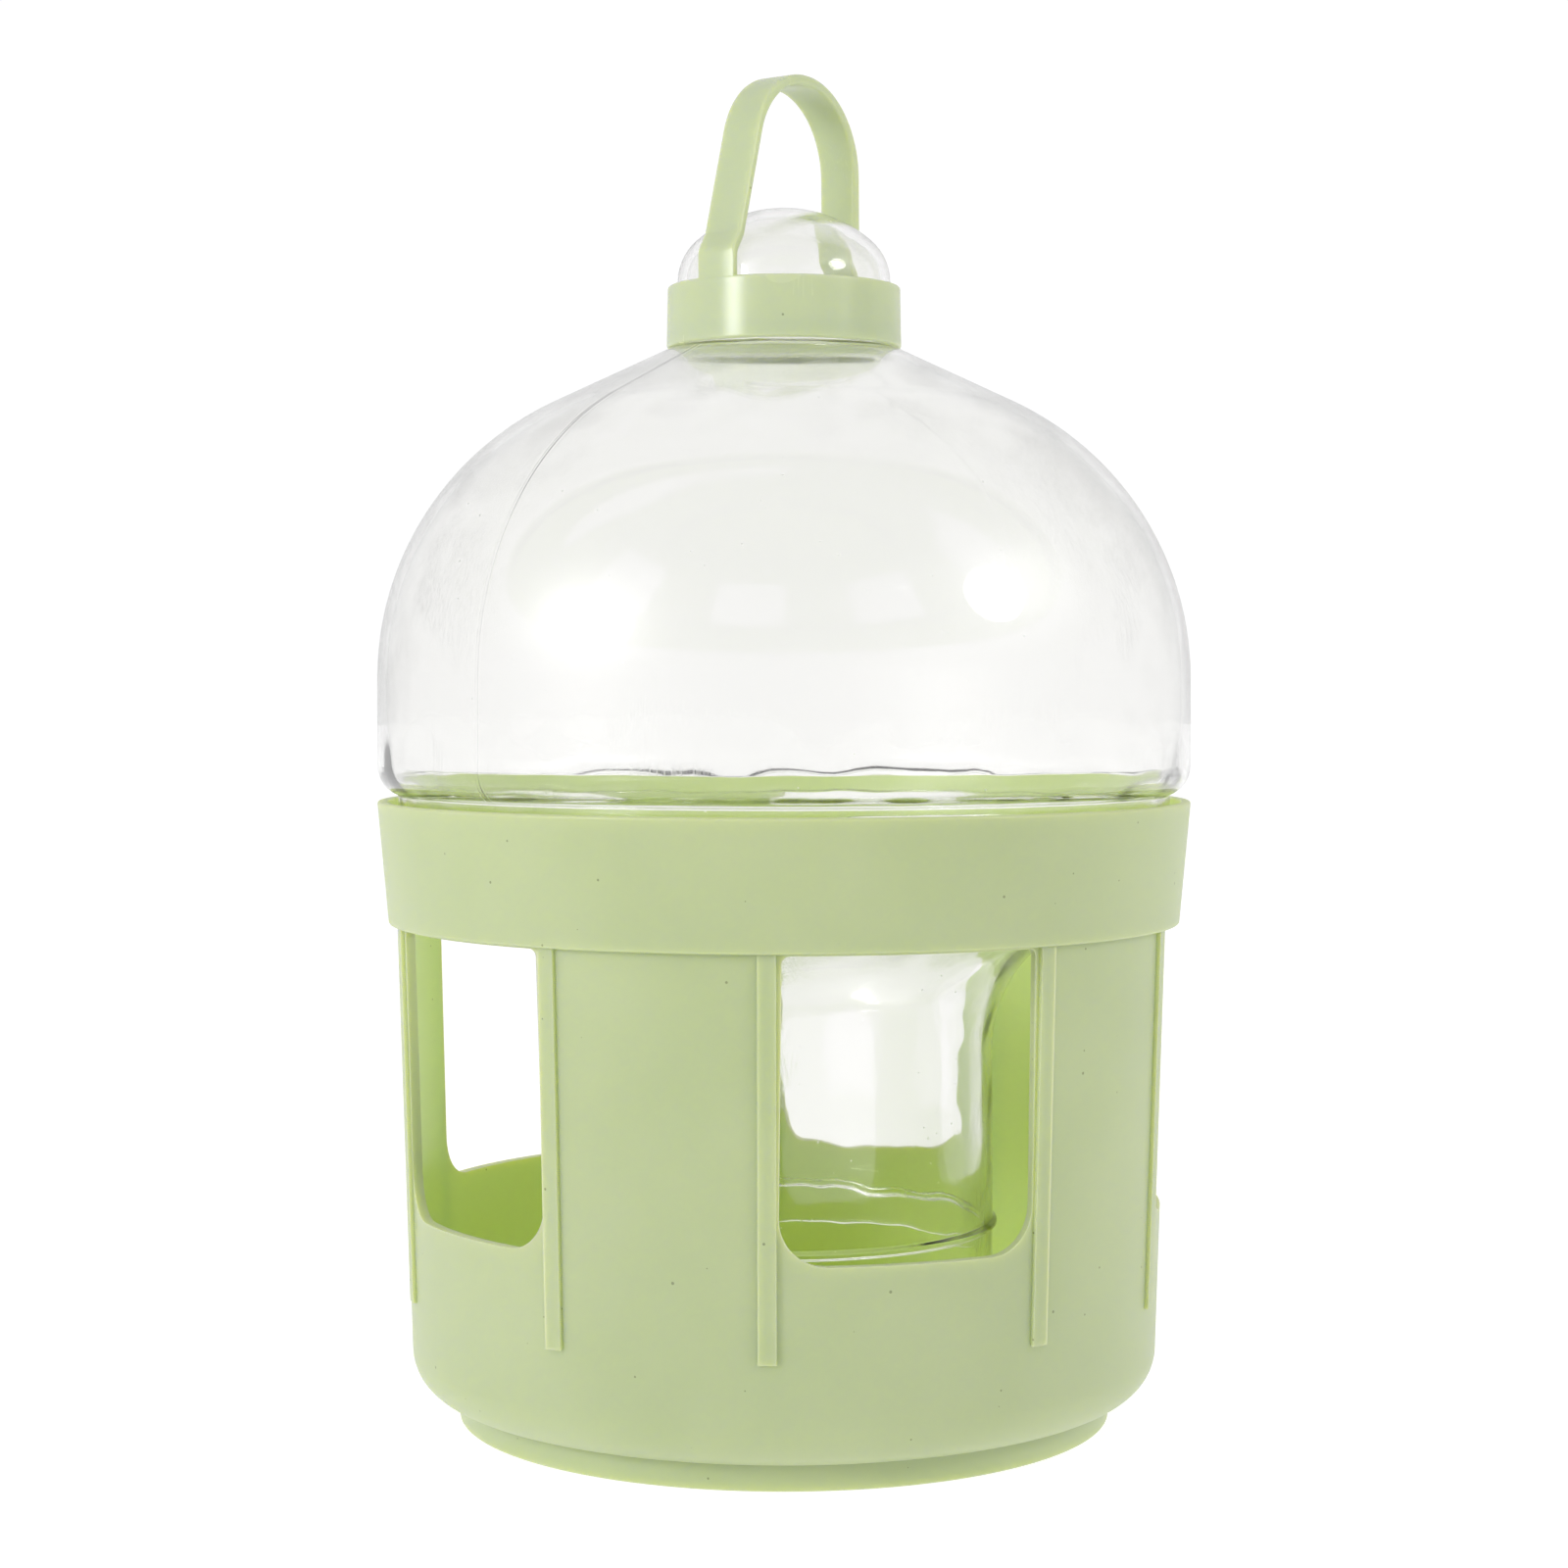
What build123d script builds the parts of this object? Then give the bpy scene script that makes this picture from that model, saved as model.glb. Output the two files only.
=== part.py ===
"""Gravity drinker for pigeons: a clear tank that stands neck-down in a windowed trough.

Three pieces, each one moulding: the trough base, the clear tank and the carry handle,
whose ring snaps over the knob on top of the tank. Lengths are in millimetres and
angles in degrees. The origin is on the ground under the middle of the base, +Z is up.
"""
import os
from math import asin, atan, degrees, radians, tan

from build123d import *

# ---------------------------------------------------------------- overall sizes
tank_radius = 82.3          # widest part of the tank, flush with the base's socket
base_height = 123.9         # ground to the top of the socket
tank_rise = 91.5            # top of the socket to the shelf under the handle's ring

# ---------------------------------------------------------------- base
base_wall = 2.0
foot_height = 5.3
foot_inset = 9.2            # from the tub's lower edge in to the foot ring
foot_wall = 2.6
foot_edge_round = 0.4
foot_inner_round = 0.6      # inside the foot ring, where it meets the tub's floor
foot_crease_round = 0.2     # outside, where the foot ring meets the tub
tub_corner = 9.0            # outer rounding between the tub's wall and its floor
tub_draft = 1.97
socket_depth = 24.5         # height of the wide band that holds the tank
socket_draft = 5.4
socket_jog = 1.9            # step from the tub's wall out to the band
jog_round = 0.3
rim_round = 0.5

# windows where the birds drink, evenly spaced, the first one facing +X
window_count = 5
window_width = 49.0
window_corner = 8.8
window_head_corner = 1.5
window_head = 0.4           # lip left between a window's top and the band
trough_depth = 35.6         # tub floor up to the windows' sills

# upright ribs, one beside each window edge
rib_width = 3.4
rib_proud = 0.8
rib_gap = 1.0               # window edge to the near side of the rib
rib_foot = 25.5             # height of the ribs' lower ends

# ---------------------------------------------------------------- tank
tank_wall = 1.8
dome_round = 61.5           # radius of the dome's side
dome_slope = 25.4           # slope of the cone that the dome runs into
shoulder_round = 6.0        # rounding under the widest part
shoulder_gap = 1.3          # open height between the socket's rim and the shoulder
shoulder_fall = 1.5         # how far the shoulder's underside drops inwards
seat_clearance = 0.4        # tank skirt to the socket's wall, at the seat
skirt_top_round = 0.4       # where the shoulder's underside meets the skirt
skirt_draft = 1.4
skirt_corner = 0.8
seat_land = 6.4             # flat ring between the skirt's corner and the funnel
neck_radius = 42.4
mouth_clearance = 23.0      # tub floor up to the mouth, which sets the water level
neck_bead_height = 8.2      # mouth up to the bead round the neck
neck_bead_radius = 0.9
lug_count = 2
lug_angle = 26.0
lug_height = 5.2
lug_proud = 1.1
lug_drop = 0.4              # socket's rim down to the lugs' top
lug_start = -83.0           # where the first lug begins, from +X

# knob that the handle's ring snaps over
knob_radius = 21.7
knob_side_round = 11.0
knob_cap_height = 15.0      # knob's widest line up to its top
knob_neck_height = 13.8     # shelf up to the knob's widest line
groove_depth = 1.2          # how much narrower the knob is below its bulge
groove_height = 7.2
knob_neck_round = 1.0       # at every corner between the knob's bulge and the dome
shelf_width = 3.0

# ---------------------------------------------------------------- carry handle
ring_clearance = 0.3        # all round the knob, and over the shelf
ring_wall = 1.7
ring_height = 12.4
ring_draft = 1.0
ring_edge_round = 0.4
bead_height = 1.6           # snap bead inside the ring, in the knob's groove
bead_gap = 0.4
bead_lift = 1.0             # ring's lower edge up to the bead
bead_round = 0.2
loop_rise = 43.3            # top of the ring up to the top of the loop
loop_round = 18.8           # outer radius of the arch, at the rear leg
front_loop_round = 17.8
loop_lean = 2.2             # how far the arch stands off the knob's axis
front_leg_lean = 4.9        # how far the front leg leans in, by the loop's top
loop_azimuth = 54.4         # plane of the loop, from +X
strap_width = 8.8
strap_thickness = 2.1
leg_step = 2.3              # how far the legs step in above the ring
leg_step_rise = 5.0
leg_step_height = 3.6
leg_round = 2.5

# ---------------------------------------------------------------- heights and radii worked out
tub_floor = foot_height + base_wall
window_sill = tub_floor + trough_depth
band_bottom = base_height - socket_depth
ledge = band_bottom + base_wall
socket_top_inner = tank_radius - base_wall
band_bottom_radius = tank_radius - socket_depth * tan(radians(socket_draft))
ledge_radius = band_bottom_radius - base_wall
tub_top_radius = band_bottom_radius - socket_jog
tub_foot_radius = tub_top_radius - (band_bottom - foot_height) * tan(radians(tub_draft))
foot_radius = tub_foot_radius - foot_inset
shelf = base_height + tank_rise
knob_middle = shelf + knob_neck_height
knob_top = knob_middle + knob_cap_height
mouth = tub_floor + mouth_clearance
skirt_foot_radius = ledge_radius - seat_clearance
shoulder_underside = base_height + shoulder_gap
skirt_top_radius = skirt_foot_radius + (shoulder_underside - ledge) * tan(radians(skirt_draft))
funnel_round = skirt_foot_radius - skirt_corner - seat_land - neck_radius
ring_bore = knob_radius + ring_clearance
ring_radius = ring_bore + ring_wall
ring_bottom = shelf + ring_clearance
ring_top = ring_bottom + ring_height


def profile(corners):
    """Closed outline through (radius, height, rounding) corners, upright in the XZ plane."""
    points = [(across, up) for across, up, _ in corners]
    return Plane.XZ * make_face(FilletPolyline(*points, radius=[r for _, _, r in corners], close=True))


def turned(corners):
    """Solid of revolution about the object's axis."""
    return revolve(profile(corners), Axis.Z)


def tub_radius(height):
    """Outer radius of the tub's drafted wall at a height."""
    return tub_top_radius - (band_bottom - height) * tan(radians(tub_draft))


# ---------------------------------------------------------------- base pieces
def tub_body():
    """Foot ring, tub and socket band as one turned wall."""
    return turned([
        (0, foot_height, 0),
        (foot_radius - foot_wall, foot_height, foot_inner_round),
        (foot_radius - foot_wall, 0, foot_edge_round),
        (foot_radius, 0, foot_edge_round),
        (foot_radius, foot_height, foot_crease_round),
        (tub_foot_radius, foot_height, tub_corner),
        (tub_top_radius, band_bottom, jog_round),
        (band_bottom_radius, band_bottom, rim_round),
        (tank_radius, base_height, rim_round),
        (socket_top_inner, base_height, rim_round),
        (ledge_radius, ledge, 0),
        (tub_top_radius - base_wall, ledge, jog_round),
        (tub_foot_radius - base_wall, tub_floor, tub_corner - base_wall),
        (0, tub_floor, 0),
    ])


def window_cutter():
    """Prism for the window that faces +X: wide round lower corners, small ones under the band."""
    half = window_width / 2
    head = band_bottom - window_head
    points = [(-half, window_sill), (half, window_sill), (half, head), (-half, head)]
    corners = [window_corner, window_corner, window_head_corner, window_head_corner]
    outline = FilletPolyline(*points, radius=corners, close=True)
    return extrude(Plane.YZ * make_face(outline), tank_radius)


def rib(azimuth):
    """Upright strip that follows the tub's draft, centred on an azimuth."""
    sink = base_wall / 2
    low, high = tub_radius(rib_foot), tub_radius(band_bottom + sink)
    section = profile([
        (low - sink, rib_foot, 0),
        (low + rib_proud, rib_foot, 0),
        (high + rib_proud, band_bottom + sink, 0),
        (high - sink, band_bottom + sink, 0),
    ])
    sweep_angle = degrees(rib_width / tub_radius(rib_foot))
    return Rot(0, 0, azimuth - sweep_angle / 2) * revolve(section, Axis.Z, revolution_arc=sweep_angle)


def make_base():
    body = tub_body()
    window_pitch = 360 / window_count
    half_window = degrees(asin(window_width / 2 / tub_top_radius))
    rib_azimuth = half_window + degrees((rib_gap + rib_width / 2) / tub_top_radius)
    for number in range(window_count):
        body -= Rot(0, 0, number * window_pitch) * window_cutter()
    for number in range(window_count):
        body += rib(number * window_pitch - rib_azimuth)
        body += rib(number * window_pitch + rib_azimuth)
    return body


# ---------------------------------------------------------------- tank
def knob_arcs(grown=0.0):
    """Cap and side of the knob: two tangent arcs from its top to its widest line."""
    side_centre = knob_radius - knob_side_round
    cap_radius = (side_centre**2 + knob_cap_height**2 - knob_side_round**2) / (
        2 * (knob_cap_height - knob_side_round))
    meet = degrees(atan(side_centre / (cap_radius - knob_cap_height)))
    cap = JernArc((0, knob_top + grown), (1, 0), cap_radius + grown, -meet)
    side = JernArc(cap @ 1, cap % 1, knob_side_round + grown, meet - 90)
    return cap, side


def tank_outline():
    """Half of the tank's outside, from the knob's top down to the mouth."""
    groove_radius = knob_radius - groove_depth
    seat_edge = groove_radius + shelf_width
    dome_corner = shelf - (tank_radius - seat_edge) * tan(radians(dome_slope))
    shoulder_corner = shoulder_underside + shoulder_fall
    groove_top = shelf + groove_height
    below_mouth = mouth - 2 * tank_wall
    neck_rounds = [knob_neck_round] * 4
    body_rounds = [dome_round, shoulder_round, skirt_top_round, skirt_corner, funnel_round, 0]
    cap, side = knob_arcs()
    walls = FilletPolyline(
        side @ 1,
        (knob_radius, groove_top),
        (groove_radius, groove_top - groove_depth),
        (groove_radius, shelf),
        (seat_edge, shelf),
        (tank_radius, dome_corner),
        (tank_radius, shoulder_corner),
        (skirt_top_radius, shoulder_underside),
        (skirt_foot_radius, ledge),
        (neck_radius, ledge),
        (neck_radius, below_mouth),
        (0, below_mouth),
        radius=neck_rounds + body_rounds,
    )
    return make_face(Wire([cap, side, *walls.edges(), Line((0, below_mouth), (0, knob_top))]))


def tank_shell():
    """The outside turned, less the same outline set in by the wall, open at the mouth."""
    outside = tank_outline()
    whole = outside + mirror(outside, Plane.YZ)
    right_half = Pos(tank_radius, 0) * Rectangle(2 * tank_radius, 2 * knob_top)
    inside = offset(whole, -tank_wall) & right_half
    shell = revolve(Plane.XZ * outside, Axis.Z) - revolve(Plane.XZ * inside, Axis.Z)
    below = Pos(0, 0, mouth - tank_radius) * Cylinder(tank_radius, 2 * tank_radius)
    return shell - below


def lug(start):
    """Raised pad on the skirt just under the shoulder, with a ramped leading end."""
    top = base_height - lug_drop
    low, high = skirt_radius(top - lug_height), skirt_radius(top)
    section = profile([
        (low - tank_wall / 2, top - lug_height, 0),
        (low + lug_proud, top - lug_height, 0),
        (high + lug_proud, top, 0),
        (high - tank_wall / 2, top, 0),
    ])
    return Rot(0, 0, start) * revolve(section, Axis.Z, revolution_arc=lug_angle)


def skirt_radius(height):
    """Outer radius of the tank's skirt at a height."""
    return skirt_foot_radius + (height - ledge) * tan(radians(skirt_draft))


def make_tank():
    body = tank_shell()
    body += Pos(0, 0, mouth + neck_bead_height) * Torus(neck_radius, neck_bead_radius)
    for number in range(lug_count):
        body += lug(lug_start + number * 360 / lug_count)
    bore = Pos(0, 0, mouth + neck_bead_height) * Cylinder(neck_radius - tank_wall, 4 * neck_bead_radius)
    return body - bore


# ---------------------------------------------------------------- carry handle
def ring_body():
    """Ring round the knob, with a snap bead low inside its bore."""
    flare = ring_height * tan(radians(ring_draft))
    bead_radius = knob_radius - groove_depth + bead_gap
    bead_depth = ring_bore - bead_radius
    bead_bottom = ring_bottom + bead_lift
    bead_top = bead_bottom + bead_height
    return turned([
        (ring_bore, ring_bottom, 0),
        (ring_radius + flare, ring_bottom, ring_edge_round),
        (ring_radius, ring_top, ring_edge_round),
        (ring_bore, ring_top, ring_edge_round),
        (ring_bore, bead_top + bead_depth, 0),
        (bead_radius, bead_top, bead_round),
        (bead_radius, bead_bottom, bead_round),
        (ring_bore, bead_bottom - bead_depth / 2, 0),
    ])


def strap_outline():
    """Outer line of the strap, from the front leg's root over the arch to the rear leg's."""
    loop_top = ring_top + loop_rise
    root = ring_top - ring_height / 3
    step_low = ring_top + leg_step_rise
    step_high = step_low + leg_step_height
    stepped = ring_radius - leg_step
    return FilletPolyline(
        (-ring_radius, root),
        (-ring_radius, step_low),
        (-stepped, step_high),
        (loop_lean - loop_round + front_leg_lean, loop_top),
        (loop_lean + loop_round, loop_top),
        (stepped, step_high),
        (ring_radius, step_low),
        (ring_radius, root),
        radius=[leg_round, leg_round, front_loop_round, loop_round, leg_round, leg_round],
    )


def knob_space():
    """Space that the turning handle leaves round the knob."""
    cap, side = knob_arcs(ring_clearance)
    down = Line(side @ 1, (ring_bore, ring_bottom))
    across = Line(down @ 1, (0, ring_bottom))
    outline = make_face(Wire([cap, side, down, across, Line(across @ 1, cap @ 0)]))
    return revolve(Plane.XZ * outline, Axis.Z)


def make_handle():
    band = make_face(offset(strap_outline(), strap_thickness, side=Side.RIGHT))
    strap = extrude(Plane.XZ * band, strap_width / 2, both=True)
    loop_height = ring_height + loop_rise
    flush = Pos(0, 0, ring_bottom + loop_height / 2) * Cylinder(ring_radius, 2 * loop_height)
    strap = (strap & flush) - knob_space()
    return ring_body() + Rot(0, 0, loop_azimuth) * strap


# ---------------------------------------------------------------- write the pieces
os.makedirs("parts", exist_ok=True)
pieces = {
    "base": make_base(),
    "tank": make_tank(),
    "carry_handle": make_handle(),
}
for name, piece in pieces.items():
    export_step(piece, f"parts/{name}.step")
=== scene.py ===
"""A gravity drinker for pigeons: its looks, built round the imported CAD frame.

Lengths are in metres, worked out from millimetre sizes with MM. Radii are from the drinker's
axis, heights from the ground. Each piece is turned, cut or swept from a few named sizes.
"""

from functools import partial
from math import acos, asin, ceil, cos, hypot, pi, radians, sin, tan

import bmesh
import bpy
import numpy as np
from mathutils import Matrix, Vector


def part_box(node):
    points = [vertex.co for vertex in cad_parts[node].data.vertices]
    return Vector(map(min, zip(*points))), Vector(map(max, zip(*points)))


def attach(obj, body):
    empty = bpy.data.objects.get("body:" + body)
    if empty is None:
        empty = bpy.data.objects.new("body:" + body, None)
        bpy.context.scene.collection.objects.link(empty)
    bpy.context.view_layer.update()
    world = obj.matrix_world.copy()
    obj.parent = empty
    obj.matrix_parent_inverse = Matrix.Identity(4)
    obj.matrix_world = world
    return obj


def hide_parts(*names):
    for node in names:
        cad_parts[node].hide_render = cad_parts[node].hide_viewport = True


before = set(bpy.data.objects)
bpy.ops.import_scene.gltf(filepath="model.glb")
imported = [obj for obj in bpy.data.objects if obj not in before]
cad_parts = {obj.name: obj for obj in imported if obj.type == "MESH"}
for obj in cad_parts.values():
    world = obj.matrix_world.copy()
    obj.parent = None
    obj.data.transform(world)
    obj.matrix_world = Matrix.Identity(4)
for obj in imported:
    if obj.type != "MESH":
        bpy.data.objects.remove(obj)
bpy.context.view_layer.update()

MM = 0.001

# ---------------------------------------------------------------- sizes taken from the frame
base_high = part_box("base")[1]
tank_low, tank_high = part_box("tank")
handle_low, handle_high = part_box("carry_handle")

TANK_RADIUS = tank_high.x
SOCKET_TOP = base_high.z
MOUTH = tank_low.z
KNOB_TOP = tank_high.z
RING_BOTTOM = handle_low.z
LOOP_TOP = handle_high.z

# ---------------------------------------------------------------- how finely shapes are drawn
WIDEST_TURN = radians(13)
SMALLEST_GAP = 0.02 * MM
MERGE_DISTANCE = 0.005 * MM
LEAST_ROUND = 0.4 * MM
BODY_SWEEP = 50 * MM
RING_SWEEP = 15 * MM
TUB_SEGMENTS = 288
TANK_SEGMENTS = 216
RING_SEGMENTS = 192

# ---------------------------------------------------------------- sizes of the base
BASE_WALL = 2.0 * MM
SOCKET_DEPTH = 24.5 * MM
SOCKET_JOG = 1.9 * MM
FOOT_HEIGHT = 5.3 * MM
FOOT_INSET = 9.2 * MM
FOOT_WALL = 2.6 * MM
TUB_CORNER = 9.0 * MM
BAND_BOTTOM = SOCKET_TOP - SOCKET_DEPTH
BAND_BOTTOM_RADIUS = TANK_RADIUS - SOCKET_DEPTH * tan(radians(5.4))
TUB_TOP_RADIUS = BAND_BOTTOM_RADIUS - SOCKET_JOG
TUB_DRAFT = radians(1.97)
TUB_FOOT_RADIUS = TUB_TOP_RADIUS - (BAND_BOTTOM - FOOT_HEIGHT) * tan(TUB_DRAFT)
TUB_FLOOR = FOOT_HEIGHT + BASE_WALL
LEDGE = BAND_BOTTOM + BASE_WALL
WINDOW_COUNT = 5
WINDOW_WIDTH = 49.0 * MM
WINDOW_SILL = TUB_FLOOR + 35.6 * MM
WINDOW_HEAD = BAND_BOTTOM - 0.4 * MM
RIB_WIDTH = 3.4 * MM
RIB_PROUD = 0.8 * MM
RIB_GAP = 1.0 * MM
RIB_FOOT = 25.5 * MM
FOOT_INNER_ROUND = 0.6 * MM
FOOT_EDGE_ROUND = 0.4 * MM
FOOT_CREASE_ROUND = 0.2 * MM
JOG_ROUND = 0.3 * MM
RIM_ROUND = 0.5 * MM
SILL_ROUND = 8.8 * MM
HEAD_ROUND = 1.5 * MM
CUT_FROM = 30 * MM  # the windows' cutter starts at this radius and ends past the rim
CUT_PAST = 5 * MM
EDGE_ROUND = 0.45 * MM
FACES_INWARD = -0.6  # a face whose normal is nearer the axis than this is inside the tub
FACES_UP = 0.5
TUB_GREENS = ((0.42, 0.49, 0.275), (0.50, 0.56, 0.345))
# painted light: the brighter, greener tone of the faces inside the tub stands in for the light that bounces
# round in there and glows through the wall
INSIDE_BOUNCE_LIGHT_GREEN = (0.57, 0.70, 0.29)
SPECK_COLOUR = (0.10, 0.11, 0.06)

# ---------------------------------------------------------------- sizes of the tank
TANK_WALL = 1.8 * MM
SHELF = RING_BOTTOM - 0.3 * MM
KNOB_RADIUS = 21.7 * MM
KNOB_SIDE = 11.0 * MM
KNOB_CAP = 15.0 * MM
GROOVE_DEPTH = 1.2 * MM
GROOVE_TOP = SHELF + 7.2 * MM
SHELF_EDGE = KNOB_RADIUS - GROOVE_DEPTH + 3.0 * MM
KNOB_NECK_ROUND = 1.0 * MM
DOME_ROUND = 61.5 * MM
DOME_SLOPE = radians(25.4)
SHOULDER_UNDER = SOCKET_TOP + 1.3 * MM
SHOULDER_RISE = 1.5 * MM
SHOULDER_ROUND = 6.0 * MM
SKIRT_TOP_ROUND = 0.4 * MM
INNER_SHOULDER_RISE = 3.6 * MM
INNER_SHOULDER_ROUND = 4.5 * MM
INNER_SKIRT_RISE = 1.0 * MM
INNER_SKIRT_STEP = 0.2 * MM
INNER_SKIRT_ROUND = 2.0 * MM
SKIRT_FOOT_RADIUS = BAND_BOTTOM_RADIUS - BASE_WALL - 0.4 * MM
SKIRT_TOP_RADIUS = SKIRT_FOOT_RADIUS + (SHOULDER_UNDER - LEDGE) * tan(radians(1.4))
NECK_RADIUS = 42.4 * MM
SKIRT_CORNER = 0.8 * MM
SEAT_LAND = 6.4 * MM
FUNNEL_ROUND = SKIRT_FOOT_RADIUS - SKIRT_CORNER - SEAT_LAND - NECK_RADIUS
BEAD_HEIGHT = MOUTH + 8.2 * MM
BEAD_PROUD = 0.9 * MM
BEAD_FOOT_ROUND = 0.3 * MM
BEAD_CREST_ROUND = 0.4 * MM
MOUTH_ROUND = 0.8 * MM
LUG_TOP = SOCKET_TOP - 0.4 * MM
LUG_HEIGHT = 5.2 * MM
LUG_PROUD = 1.1 * MM
LUG_MIDDLE = radians(-70)
LUG_SPAN = radians(26)
LUG_EDGE = 0.9 * MM
WAVE_HEIGHT = 0.5 * MM
WAVE_SCALE = 60.0
CALM_ABOVE = SHOULDER_UNDER + 14 * MM
CALM_FADE = 6 * MM
CALM_SHARE = 0.02
PARTING_AZIMUTH = radians(-134)
PARTING_WIDTH = 0.35 * MM
CLEAR_TINT = (0.96, 0.958, 0.948)
# painted shade: the grey that the clear plastic's colour turns to at its silhouette, for the dark edges that
# refraction gives
CLEAR_RIM_SHADE = (0.45, 0.46, 0.45)

# ---------------------------------------------------------------- sizes of the carry handle
RING_BORE = KNOB_RADIUS + 0.3 * MM
RING_RADIUS = RING_BORE + 1.7 * MM
RING_HEIGHT = 12.4 * MM
RING_FLARE = RING_HEIGHT * tan(radians(1.0))
RING_TOP = RING_BOTTOM + RING_HEIGHT
RING_LOW_ROUND = 0.2 * MM
RING_EDGE_ROUND = 0.5 * MM
RING_BORE_ROUND = 0.4 * MM
SNAP_GAP = 0.4 * MM
SNAP_LIFT = 1.0 * MM
SNAP_HEIGHT = 1.6 * MM
SNAP_ROUND = 0.3 * MM
SNAP_FOOT_ROUND = 0.1 * MM
LOOP_AZIMUTH = radians(54.4)
LOOP_ROUND = 18.8 * MM
FRONT_LOOP_ROUND = 17.8 * MM
LOOP_LEAN = 2.2 * MM
FRONT_LEG_LEAN = 4.9 * MM
STRAP_WIDTH = 8.8 * MM
STRAP_THICK = 2.1 * MM
STRAP_EDGE = 0.7 * MM
LEG_STEP = 2.3 * MM
LEG_STEP_LOW = RING_TOP + 5.0 * MM
LEG_STEP_HIGH = LEG_STEP_LOW + 3.6 * MM
LEG_ROUND = 2.5 * MM
LEG_SINK = 0.05 * MM  # keeps the strap's feet just inside the ring's outer face
LEG_FLUSH = 0.03 * MM
HANDLE_EASE = 0.35 * MM
HANDLE_GREENS = ((0.45, 0.515, 0.34), (0.52, 0.58, 0.42))

# ---------------------------------------------------------------- camera, light and room
CAMERA_PLACE = (0, -0.624, 0.1501)
CAMERA_SENSOR = 36
CAMERA_LENS = CAMERA_SENSOR * 1.95
CAMERA_SHIFT = -0.0725
FLOOR_RADIUS = 8
FLOOR_GREY = 0.36
FLOOR_GLOW_SEEN = 0.84
FLOOR_GLOW_CAST = 0.74
ROOM_CAST = 0.56
ROOM_REFLECTED = 0.28
ROOM_SEEN = 1.02
LAMPS_AROUND = (0, 0, 0.16)
LAMP_REACH = 1.1
LAMP_SIZE = 0.32
# name, azimuth from the front, height above level, power
LAMPS = (("left", radians(-50), radians(15.7), 4.6), ("right", radians(62.5), radians(24.3), 2.4))


# ---------------------------------------------------------------- mesh helpers
def rounded_line(corners, step, closed=False):
    """Points along a line through (across, up, rounding) corners, each corner turned into an arc."""
    points = []
    count = len(corners)
    for number, (across, up, rounding) in enumerate(corners):
        corner = np.array([across, up])
        if rounding == 0 or (not closed and number in (0, count - 1)):
            points.append(corner)
            continue
        before = np.array(corners[number - 1][:2]) - corner
        after = np.array(corners[(number + 1) % count][:2]) - corner
        before, after = before / np.linalg.norm(before), after / np.linalg.norm(after)
        half = acos(float(np.clip(before @ after, -1, 1))) / 2
        middle = (before + after) / np.linalg.norm(before + after)
        centre = corner + middle * rounding / sin(half)
        start = corner + before * rounding / tan(half) - centre
        turn = pi - 2 * half
        if start[1] * before[0] - start[0] * before[1] < 0:
            turn = -turn
        pieces = max(2, ceil(rounding * abs(turn) / step), ceil(abs(turn) / WIDEST_TURN))
        for piece in range(pieces + 1):
            angle = turn * piece / pieces
            spun_across = start[0] * cos(angle) - start[1] * sin(angle)
            spun_up = start[0] * sin(angle) + start[1] * cos(angle)
            points.append(centre + (spun_across, spun_up))
    return np.array(points)


def spaced(points, longest, fine_from=0, fine_to=0):
    """The same line with its long stretches divided, three times as finely between two heights."""
    out = [points[0]]
    for point in points[1:]:
        gap = np.linalg.norm(point - out[-1])
        if gap < SMALLEST_GAP:
            continue
        last = out[-1]
        fine = fine_from < (point[1] + last[1]) / 2 < fine_to
        pieces = ceil(gap / (longest / 3 if fine else longest))
        out += [last + (point - last) * piece / pieces for piece in range(1, pieces + 1)]
    return np.array(out)


def inset_corners(corners, wall):
    """The same open line moved inwards by a wall: its corners and its roundings follow."""
    lines = []
    for (x0, z0, _), (x1, z1, _) in zip(corners, corners[1:]):
        along = np.array([x1 - x0, z1 - z0])
        along /= np.linalg.norm(along)
        inward = np.array([along[1], -along[0]])
        lines.append((np.array([x0, z0]) + inward * wall, along))
    moved = [(*lines[0][0], 0)]
    for (start, along), (other, beyond), (_, _, rounding) in zip(lines, lines[1:], corners[1:]):
        cross = along[0] * beyond[1] - along[1] * beyond[0]
        reach = ((other - start)[0] * beyond[1] - (other - start)[1] * beyond[0]) / cross
        turned_in = rounding - wall if cross < 0 else rounding + wall
        moved.append((*(start + along * reach), max(turned_in, LEAST_ROUND)))
    end = np.array(corners[-1][:2]) + np.array([lines[-1][1][1], -lines[-1][1][0]]) * wall
    moved.append((*end, 0))
    return moved


def new_object(name, mesh):
    """An object in the scene that holds a mesh or a curve."""
    made = bpy.data.objects.new(name, mesh)
    bpy.context.scene.collection.objects.link(made)
    return made


def line_object(name, points, closed):
    """A poly curve in the XY plane through (across, up) points."""
    curve = bpy.data.curves.new(name, "CURVE")
    curve.dimensions = "2D"
    spline = curve.splines.new("POLY")
    spline.points.add(len(points) - 1)
    for place, (across, up) in zip(spline.points, points):
        place.co = (across, up, 0, 1)
    spline.use_cyclic_u = closed
    return new_object(name, curve)


def prism(name, outline, low, high):
    """A closed prism: an outline of (y, z) points pushed from x = low to x = high."""
    shape = bmesh.new()
    rings = [[shape.verts.new((x, y, z)) for y, z in outline] for x in (low, high)]
    count = len(outline)
    for here in range(count):
        there = (here + 1) % count
        shape.faces.new((rings[0][here], rings[0][there], rings[1][there], rings[1][here]))
    shape.faces.new(rings[0])
    shape.faces.new(rings[1])
    bmesh.ops.recalc_face_normals(shape, faces=shape.faces)
    mesh = bpy.data.meshes.new(name)
    shape.to_mesh(mesh)
    shape.free()
    return new_object(name, mesh)


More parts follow.
